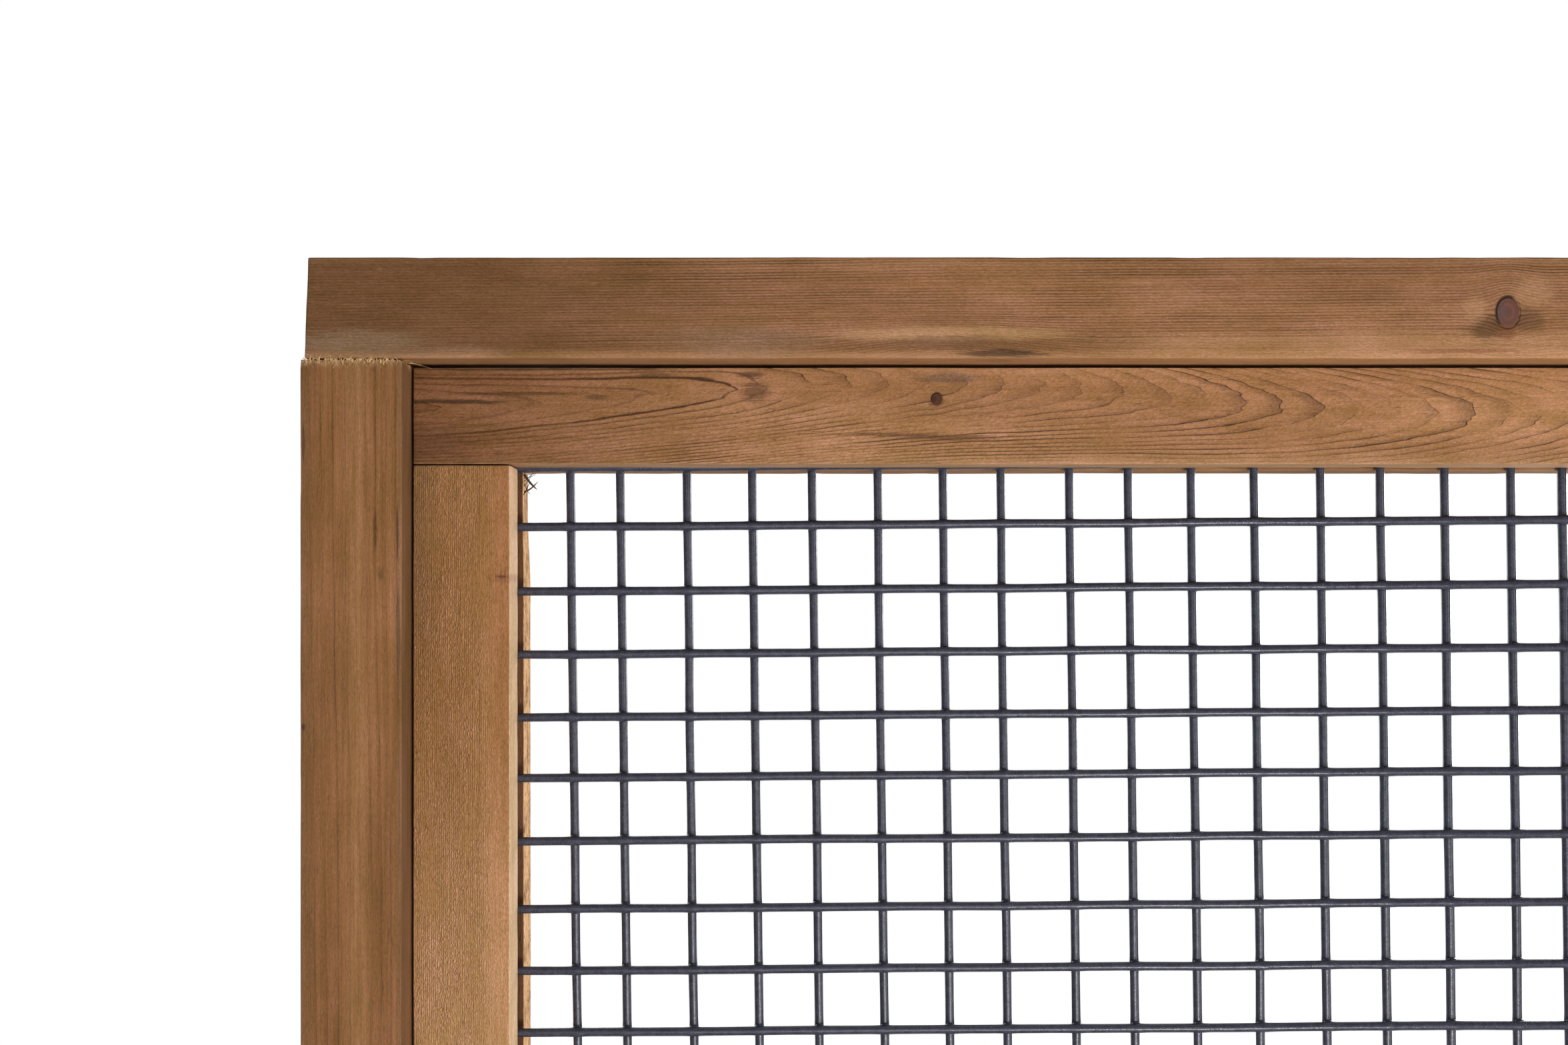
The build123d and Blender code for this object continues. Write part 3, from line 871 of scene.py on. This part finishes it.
def coated_wire(node, line, welds, seed):
    start, end, radius = line
    length = np.linalg.norm(end - start)
    direction = (end - start) / length
    side = np.cross(direction, (0, 1, 0))
    side /= np.linalg.norm(side)
    up = np.array((0.0, 1.0, 0.0))
    stations = max(2, round(length / WIRE_STEP)) + 1
    s = np.linspace(0, length, stations)
    at_welds = [float(np.dot(w - start, direction)) for w in welds]
    swell = sum(np.exp(-(((s - w) / SWELL_REACH) ** 2)) for w in at_welds)
    lumps = LUMPS * (lattice(s / 6, s * 0, seed) - 0.5)
    girth = radius * GIRTH_SHARE + SWELL * np.clip(swell, 0, 1) + lumps
    girth[[0, -1]] *= END_TAPER
    wander = WANDER * (lattice(s / 42, s * 0, seed + 1) - 0.5)
    hump = HUMP * (lattice(s / 60, s * 0 + 3, seed + 2) - 0.5)
    points, faces = [], []
    for i in range(stations):
        centre = start + direction * s[i] + side * wander[i] + up * hump[i]
        for j in range(WIRE_SIDES):
            angle = 2 * math.pi * j / WIRE_SIDES
            points.append(centre + girth[i] * (side * math.cos(angle) + up * math.sin(angle)))
    skin(faces, 0, stations, WIRE_SIDES, inward=True)
    add_piece(node + "-coated", points, faces, [coating], node)


for i, node in enumerate(ROWS):
    coated_wire(node, ROW_LINES[i], CROSSINGS[i], 100 + i)
for i, node in enumerate(COLUMNS):
    coated_wire(node, COLUMN_LINES[i], [row[i] for row in CROSSINGS], 200 + i)


def weld_coating():
    """At each crossing the coating fills the corners between the two wires."""
    points, faces = [], []
    for i, row in enumerate(CROSSINGS):
        for j, centre in enumerate(row):
            base = len(points)
            wide = WELD_WIDTH + WELD_SPREAD * lattice(np.array(i * 0.7), np.array(j * 0.9), 5)
            for a in range(WELD_LEVELS + 1):
                tilt = math.pi * a / WELD_LEVELS
                for b in range(WELD_TURNS):
                    turn = 2 * math.pi * b / WELD_TURNS
                    out = wide * max(math.sin(tilt), 0.02)
                    offset = (out * math.cos(turn), WELD_REACH * math.cos(tilt), out * math.sin(turn))
                    points.append(centre + np.array(offset))
            skin(faces, base, WELD_LEVELS + 1, WELD_TURNS)
    add_piece("weld-coating", points, faces, [coating])


weld_coating()


# ---- torn fibres
def fibre_material(name, roughness, specular, stretch, softness, dark, pale):
    s = Shader(name, roughness, specular)
    tone = s.noise(s.vector("MULTIPLY", s.place, stretch))
    colour = s.mix(s.steps(tone, 0.5 - softness, 0.5 + softness), dark, pale)
    return s.finish(colour, s.noise(s.scaled(s.place, 5.0)), 0.05)


STRAND_SIDES = 5
STRAND_TAPER = 0.85


def strand(points, faces, route, thick, flat=1.0, blunt=1.0):
    """One fibre along route, thinning to its end, late if it is blunt. flat squeezes it front to back."""
    route = [np.array(point, float) for point in route]
    last = len(route) - 1
    steps = 4 * last
    path = []
    for i in range(steps + 1):
        u = i / steps * last
        k = min(int(u), last - 1)
        f = u - k
        before, a, b, after = route[max(k - 1, 0)], route[k], route[k + 1], route[min(k + 2, last)]
        bend = (2 * a + (b - before) * f + (2 * before - 5 * a + 4 * b - after) * f**2
                + (3 * a - before - 3 * b + after) * f**3)
        path.append(bend / 2)
    base = len(points)
    for i, centre in enumerate(path):
        tangent = path[min(i + 1, steps)] - path[max(i - 1, 0)]
        tangent /= np.linalg.norm(tangent) + 1e-9
        side = np.cross(tangent, (0.0, 1.0, 0.0))
        side /= np.linalg.norm(side) + 1e-9
        depth = np.cross(side, tangent)
        width = thick * (1 - STRAND_TAPER * (i / steps) ** blunt)
        for j in range(STRAND_SIDES):
            turn = 2 * math.pi * j / STRAND_SIDES
            points.append(centre + width * (math.cos(turn) * side + flat * math.sin(turn) * depth))
    skin(faces, base, steps + 1, STRAND_SIDES, inward=True)


def chance(i, k):
    """A fixed chance value from 0 to 1 for the k-th choice about strand i."""
    h = math.sin(i * 12.9898 + k * 78.233) * 43758.5453
    return h - math.floor(h)


FIBRE_DEPTH = 0.13  # behind the post's face
FIBRE_MARGIN = 0.4  # from the post's sides
HANGING_SHARE = 0.48
SLIVER_COUNT = 34
# reach towards the panel's middle, sag, place along Y, thickness
LONG_SLIVERS = ((8.6, 2.0, -25.0, 0.17), (4.2, 0.9, -26.0, 0.13), (5.5, 0.2, -30.0, 0.12))


def post_fibres(node, seed, count=64):
    """Fibres that the saw left standing along the front of a post's top end, lying over the joint."""
    low, high = cad(node)
    face = low[1] + FIBRE_DEPTH
    points, faces = [], []
    for i in range(count):
        def pick(k):
            return chance(i + seed, k)

        clump = 1.6 * math.sin(0.9 * i) + 0.9 * math.sin(2.3 * i)
        x = low[0] + 1.6 + (high[0] - low[0] - 4.0) * (i + 2.0 * pick(1)) / (count + 2) + clump
        rise = 0.2 + 2.3 * pick(2) ** 2.5
        drop = 0.5 + 1.6 * pick(3)
        lean = (pick(4) - 0.45) * (2.0 + 4.0 * pick(9))
        curl = (pick(5) - 0.5) * 4.0
        z = high[2]
        thick = 0.15 + 0.19 * pick(6) ** 1.3
        if pick(7) < HANGING_SHARE:
            hang = 0.8 + 3.2 * pick(8) ** 1.6
            route = [(x, face + 0.1, z - 0.5), (x + 0.5 * lean, face, z + 0.3 * rise),
                     (x + lean, face, z - 0.3 * hang), (x + 0.8 * lean + curl, face, z - hang)]
        else:
            route = [(x, face + 0.15, z - drop), (x + 0.2 * curl, face, z - 0.3 * drop),
                     (x + 0.5 * lean, face, z + 0.55 * rise), (x + lean + curl, face, z + rise)]
        route = [(min(max(x, low[0] + FIBRE_MARGIN), high[0] - FIBRE_MARGIN), y, z) for x, y, z in route]
        strand(points, faces, route, thick, flat=0.45)
    # long slivers lie along the joint, towards the middle of the panel
    way = 1 if high[0] < 0 else -1
    corner = high[0] if way > 0 else low[0]
    level = high[2]
    for reach, sag, y, thick in LONG_SLIVERS:
        route = [(corner - way * 1.2, y - 2.5, level - 0.15),
                 (corner + way * 0.25 * reach, y, level + 0.35 - sag * 0.2),
                 (corner + way * 0.6 * reach, y + 0.8, level - 0.45 * sag),
                 (corner + way * reach, y + 1.0, level - sag)]
        strand(points, faces, route, thick)
    add_piece(node + "-fibres", points, faces, [torn_fibre])


def edge_slivers(node, way, corner_fan):
    """Slivers standing off the broken inner edge of a back batten, and a fan of them in its top corner,
    coloured dark as painted shade.
    """
    low, high = cad(node)
    edge = high[0] if way > 0 else low[0]
    points, faces = [], []
    for i in range(SLIVER_COUNT):
        z = low[2] + (high[2] - low[2]) * (i + chance(i, 11)) / SLIVER_COUNT
        y = low[1] + 1.5 + 14.0 * chance(i, 12)
        out = 0.3 + 1.5 * chance(i, 13) ** 2
        tall = (2.0 + 4.0 * chance(i, 14)) * (1 if chance(i, 15) > 0.3 else -1)
        route = [(edge - way * 1.6, y, z), (edge - way * 0.9, y - 0.2, z + 0.5 * tall),
                 (edge - way * (0.9 - out), y - 0.4, z + tall)]
        strand(points, faces, route, 0.16 + 0.12 * chance(i, 16))
    top = high[2]
    bright_faces = len(faces)
    for out, drop, thick, start, begin in corner_fan:
        route = [(edge - way * start, low[1] + 1.2, top - begin),
                 (edge + way * (0.5 * out - 0.5 * start), low[1] + 0.7, top - 0.55 * (begin + drop)),
                 (edge + way * out, low[1] + 0.5, top - drop)]
        strand(points, faces, route, thick, blunt=3.0)
    materials = [torn_fibre, painted_shade_fibre]
    ob = add_piece(node + "-slivers", points, faces, materials)
    ob.data.polygons.foreach_set("material_index", [int(i >= bright_faces) for i in range(len(faces))])


torn_fibre = fibre_material(
    "torn_fibre", 0.75, 0.1, (0.8, 0.8, 0.8), 0.2, (0.36, 0.185, 0.070), (0.78, 0.52, 0.255)
)
# dark fibre for the corner fan: painted shade, the corner's shadow put into the slivers' colour
painted_shade_fibre = fibre_material(
    "painted_shade_fibre", 0.7, 0.15, (2.0, 2.0, 0.5), 0.15, (0.040, 0.022, 0.012), (0.150, 0.078, 0.034)
)
post_fibres("left_post", 3)
post_fibres("right_post", 500, count=36)
# how far out of the edge each sliver ends, its drop below the top, thickness, and where it starts
CORNER_FAN = (
    (4.9, 7.4, 0.52, 0.4, 1.4), (5.3, 4.3, 0.36, 0.3, 8.4), (5.9, 0.8, 0.16, 0.4, 1.5),
    (4.5, 1.4, 0.15, 0.4, 3.0), (3.1, 1.2, 0.16, 0.4, 6.0), (2.1, 4.0, 0.22, 0.6, 9.5),
    (3.6, 0.5, 0.15, 0.4, 4.2), (2.4, 9.5, 0.16, 0.2, 5.0),
)
edge_slivers("back_left_batten", 1, CORNER_FAN)
edge_slivers("back_right_batten", -1, CORNER_FAN[3:])


# ---- screws
def screw_material():
    s = Shader("screw_steel", roughness=0.4)
    s.surface.inputs["Metallic"].default_value = 1.0
    blotch = s.noise(s.scaled(s.place, 0.5), detail=4.0)
    scratch = s.noise(s.vector("MULTIPLY", s.place, (3.0, 0.4, 3.0)), detail=2.0)
    colour = s.mix(s.steps(blotch, 0.35, 0.7), (0.42, 0.36, 0.24), (0.55, 0.53, 0.48))
    return s.finish(colour, scratch, 0.05, s.fused(blotch, 0.4, 0.2))


def islands(node):
    """The corners of each separate solid's box in a CAD node, in millimetres."""
    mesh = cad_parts[node].data
    world = np.array(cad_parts[node].matrix_world)
    places = np.empty(len(mesh.vertices) * 3)
    mesh.vertices.foreach_get("co", places)
    places = (places.reshape(-1, 3) @ world[:3, :3].T + world[:3, 3]) / MM
    keys = [tuple(place) for place in np.round(places, 2)]
    label = {key: key for key in keys}

    def root(key):
        while label[key] != key:
            label[key] = label[label[key]]
            key = label[key]
        return key

    for edge in mesh.edges:
        a, b = edge.vertices
        label[root(keys[a])] = root(keys[b])
    groups = {}
    for key in label:
        groups.setdefault(root(key), []).append(key)
    return [(np.min(g, axis=0), np.max(g, axis=0)) for g in groups.values()]


HEAD_TURNS = 48
HEAD_TOP = 0.06  # the head's highest ring inside the CAD face, in millimetres
HEAD_SHARE = 0.985  # of the CAD head's radius
# the cross recess: shares of the radius, then its depth at the rim and how much deeper the middle is
CROSS_HUB, CROSS_ARM, CROSS_WALL = 0.17, 0.39, 0.06
CROSS_RIM, CROSS_FALL = 0.585, 1.17
BACK_HEAD_RISE = 0.3  # the screws in the back lie that much closer to the surface than the CAD ones
# rings from the rim to the middle: share of the radius, and millimetres below the highest ring
HEAD_RINGS = [(1.0, 0.60), (1.0, 0.14), (0.97, 0.03), (0.90, 0.0), (0.78, 0.03), (0.66, 0.05)]
HEAD_RINGS += [(share, 0.06) for share in (0.58, 0.50, 0.42, 0.34, 0.26, 0.18, 0.10)]


def screw_heads(node):
    """Countersunk heads with a cross recess, flush with the timber, in place of the CAD screws."""
    points, faces = [], []
    for low, high in islands(node):
        size = high - low
        axis = int(np.argmax(size))
        middle = (low + high) / 2
        panel_middle = (PANEL_LOW + PANEL_HIGH) / 2
        sign = 1.0 if middle[axis] > panel_middle[axis] else -1.0
        up = np.zeros(3)
        up[axis] = sign
        u, v = np.roll(up, 1) * sign, np.roll(up, 2) * sign
        centre = middle.copy()
        side = PANEL_HIGH if sign > 0 else PANEL_LOW
        centre[axis] = side[axis] if axis != 1 else high[1] + BACK_HEAD_RISE
        radius = min(size[k] for k in range(3) if k != axis) / 2
        turned = 2.4 * chance(round(middle[0] + 3 * middle[2]), 21)
        base = len(points)
        for share, sink in HEAD_RINGS:
            for j in range(HEAD_TURNS):
                turn = 2 * math.pi * j / HEAD_TURNS
                lobe = CROSS_HUB + CROSS_ARM * abs(math.cos(2 * turn)) ** 7
                wall = min(max((lobe - share) / CROSS_WALL, 0.0), 1.0)
                recess = wall * (CROSS_RIM + CROSS_FALL * (1 - share))
                spot = math.cos(turn + turned) * u + math.sin(turn + turned) * v
                deep = HEAD_TOP + sink + recess
                points.append(centre + radius * HEAD_SHARE * share * spot - up * deep)
        skin(faces, base, len(HEAD_RINGS), HEAD_TURNS)
    add_piece(node + "-heads", points, faces, [steel], node)


steel = screw_material()
for node in ("corner_screws", "frame_screws", "back_screws"):
    screw_heads(node)


# ---- floor
FLOOR_SIDES, FLOOR_RADIUS, FLOOR_LEVEL = 96, 1000.0, -0.5


def floor():
    s = Shader("floor_paint", roughness=0.7, specular=0.2)
    tone = s.noise(s.scaled(s.place, 0.01), detail=3.0)
    colour = s.mix(tone, (0.88, 0.88, 0.87), (0.93, 0.93, 0.925))
    turns = [2 * math.pi * k / FLOOR_SIDES for k in range(FLOOR_SIDES)]
    rim = [(FLOOR_RADIUS * math.cos(turn), FLOOR_RADIUS * math.sin(turn), FLOOR_LEVEL) for turn in turns]
    ob = mesh_object("floor", rim, [tuple(range(FLOOR_SIDES))], smooth=False)
    ob.data.materials.append(s.finish(colour))


floor()
